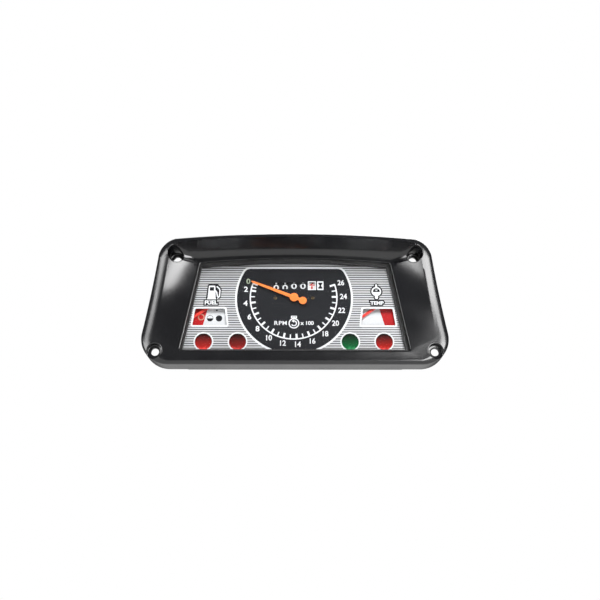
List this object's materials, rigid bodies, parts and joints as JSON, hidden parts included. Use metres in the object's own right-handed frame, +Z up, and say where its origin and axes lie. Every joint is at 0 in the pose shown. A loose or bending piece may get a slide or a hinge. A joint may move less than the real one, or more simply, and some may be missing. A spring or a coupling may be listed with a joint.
{
  "type": "vehicle instrument panel with tachometer",
  "caption": "Hooded black instrument panel with tachometer, hour meter, fuel and temperature gauges, warning lamps and a cable drive at the rear.",
  "frame": {"origin": "middle of the bezel, on the plane of the panel that its skirt seats on, at the height of the tachometer pointer's spindle", "axes": "+X to the driver's right, +Y away from the driver into the dashboard, +Z up the dial"},
  "size_m": [0.29, 0.1166, 0.1231],
  "materials": {
    "bezel_plastic": "satin black moulded",
    "lens": "clear polished",
    "rubber_seal": "matt",
    "black_plastic": "matt black",
    "dial_print": "printed silver and black",
    "plated_steel": "zinc plated",
    "dark_screw": "blackened",
    "red_lens": "translucent red",
    "dark_red_lens": "translucent dark red",
    "green_lens": "translucent green",
    "bulb_glass": "clear",
    "circuit_film": "amber film with copper tracks",
    "white_plastic": "natural white",
    "brass": "bright",
    "scale_print": "printed white and red",
    "needle_orange": "fluorescent orange",
    "zinc_casting": "die cast",
    "steel_pressing": "plated pressing",
    "magnet_alloy": "sintered",
    "cup_aluminium": "spun",
    "drum_black": "black with white numbers",
    "drum_white": "white with red numbers"
  },
  "bodies": {
    "root": {"bezel": "bezel_plastic", "window_lens": "lens", "lens_seal": "rubber_seal", "dial_spacer": "black_plastic", "dial_plate": "dial_print", "dial_screws": "dark_screw", "rear_case": "black_plastic", "case_screws": "plated_steel", "lamp_lens_1": "red_lens", "lamp_lens_2": "dark_red_lens", "lamp_lens_3": "green_lens", "lamp_lens_4": "red_lens", "lamp_holder_1": "black_plastic", "lamp_holder_2": "black_plastic", "lamp_holder_3": "black_plastic", "lamp_holder_4": "black_plastic", "lamp_holder_5": "black_plastic", "lamp_holder_6": "black_plastic", "lamp_bulbs": "bulb_glass", "circuit_foil": "circuit_film", "wiring_socket": "white_plastic", "wiring_pins": "brass", "voltage_stabiliser": "steel_pressing", "fuel_meter_base": "white_plastic", "fuel_scale_plate": "scale_print", "fuel_bimetal": "brass", "fuel_terminals": "brass", "temp_meter_base": "white_plastic", "temp_scale_plate": "scale_print", "temp_bimetal": "brass", "temp_terminals": "brass", "mechanism_can": "steel_pressing", "can_screws": "plated_steel", "drive_socket": "brass", "mechanism_frame": "zinc_casting", "bearing_bridge": "brass", "flux_ring": "steel_pressing", "hairspring": "brass", "counter_shaft": "plated_steel", "pinion_shaft": "plated_steel"},
    "tach_needle": {"pointer_spindle": "plated_steel", "drag_cup": "cup_aluminium", "tach_pointer": "needle_orange"},
    "fuel_needle": {"fuel_pointer": "needle_orange"},
    "temp_needle": {"temp_pointer": "needle_orange"},
    "drive": {"drive_spindle": "plated_steel", "magnet": "magnet_alloy"},
    "first_layshaft": {"layshaft_1": "brass"},
    "second_layshaft": {"layshaft_2": "brass"},
    "number_wheel_1": {"hour_wheel_1": "drum_black"},
    "number_wheel_2": {"hour_wheel_2": "drum_black"},
    "number_wheel_3": {"hour_wheel_3": "drum_black"},
    "number_wheel_4": {"hour_wheel_4": "drum_black"},
    "number_wheel_5": {"hour_wheel_5": "drum_white"},
    "pinion_1": {"carry_pinion_1": "white_plastic"},
    "pinion_2": {"carry_pinion_2": "white_plastic"},
    "pinion_3": {"carry_pinion_3": "white_plastic"},
    "pinion_4": {"carry_pinion_4": "white_plastic"}
  },
  "joints": [
    {"name": "tach_needle_turn", "type": "hinge", "parent": "root", "child": "tach_needle", "pos_m": [-0.0011, -0.016, 0], "axis": [0, -1, 0], "range_deg": [0, 220], "stiffness_Nm_per_rad": 0.00002, "springref_deg": -20.05},
    {"name": "fuel_needle_turn", "type": "hinge", "parent": "root", "child": "fuel_needle", "pos_m": [-0.0816, -0.0115, -0.0075], "axis": [0, -1, 0], "range_deg": [0, 95], "stiffness_Nm_per_rad": 0.00001, "springref_deg": -5.73},
    {"name": "temp_needle_turn", "type": "hinge", "parent": "root", "child": "temp_needle", "pos_m": [0.0794, -0.0115, -0.0075], "axis": [0, -1, 0], "range_deg": [0, 95], "stiffness_Nm_per_rad": 0.00001, "springref_deg": -5.73},
    {"name": "drive_spin", "type": "hinge", "parent": "root", "child": "drive", "pos_m": [-0.0011, 0.024, 0], "axis": [0, 1, 0], "continuous": true},
    {"name": "first_layshaft_spin", "type": "hinge", "parent": "root", "child": "first_layshaft", "pos_m": [-0.0011, 0.044, -0.01055], "axis": [1, 0, 0], "continuous": true},
    {"name": "second_layshaft_spin", "type": "hinge", "parent": "root", "child": "second_layshaft", "pos_m": [0.0219, 0.02, 0.00045], "axis": [0, 1, 0], "continuous": true},
    {"name": "number_wheel_1_spin", "type": "hinge", "parent": "root", "child": "number_wheel_1", "pos_m": [-0.0184, -0.0025, 0.0126], "axis": [1, 0, 0], "continuous": true},
    {"name": "number_wheel_2_spin", "type": "hinge", "parent": "root", "child": "number_wheel_2", "pos_m": [-0.00975, -0.0025, 0.0126], "axis": [1, 0, 0], "continuous": true},
    {"name": "number_wheel_3_spin", "type": "hinge", "parent": "root", "child": "number_wheel_3", "pos_m": [-0.0011, -0.0025, 0.0126], "axis": [1, 0, 0], "continuous": true},
    {"name": "number_wheel_4_spin", "type": "hinge", "parent": "root", "child": "number_wheel_4", "pos_m": [0.00755, -0.0025, 0.0126], "axis": [1, 0, 0], "continuous": true},
    {"name": "number_wheel_5_spin", "type": "hinge", "parent": "root", "child": "number_wheel_5", "pos_m": [0.0162, -0.0025, 0.0126], "axis": [1, 0, 0], "continuous": true},
    {"name": "pinion_1_spin", "type": "hinge", "parent": "root", "child": "pinion_1", "pos_m": [-0.0141, 0.00623, 0.01993], "axis": [1, 0, 0], "continuous": true},
    {"name": "pinion_2_spin", "type": "hinge", "parent": "root", "child": "pinion_2", "pos_m": [-0.00545, 0.00623, 0.01993], "axis": [1, 0, 0], "continuous": true},
    {"name": "pinion_3_spin", "type": "hinge", "parent": "root", "child": "pinion_3", "pos_m": [0.0032, 0.00623, 0.01993], "axis": [1, 0, 0], "continuous": true},
    {"name": "pinion_4_spin", "type": "hinge", "parent": "root", "child": "pinion_4", "pos_m": [0.01185, 0.00623, 0.01993], "axis": [1, 0, 0], "continuous": true}
  ],
  "couplings": [
    {"joint": "first_layshaft_spin", "follows": "drive_spin", "ratio": 0.027778},
    {"joint": "second_layshaft_spin", "follows": "drive_spin", "ratio": 0.00092593},
    {"joint": "number_wheel_5_spin", "follows": "drive_spin", "ratio": 0.000018519},
    {"joint": "number_wheel_4_spin", "follows": "drive_spin", "ratio": 0.0000018519},
    {"joint": "number_wheel_3_spin", "follows": "drive_spin", "ratio": 0.00000018519},
    {"joint": "number_wheel_2_spin", "follows": "drive_spin", "ratio": 0.000000018519},
    {"joint": "number_wheel_1_spin", "follows": "drive_spin", "ratio": 0.0000000018519},
    {"joint": "pinion_4_spin", "follows": "drive_spin", "ratio": -0.0000046296},
    {"joint": "pinion_3_spin", "follows": "drive_spin", "ratio": -0.00000046296},
    {"joint": "pinion_2_spin", "follows": "drive_spin", "ratio": -0.000000046296},
    {"joint": "pinion_1_spin", "follows": "drive_spin", "ratio": -0.0000000046296}
  ]
}
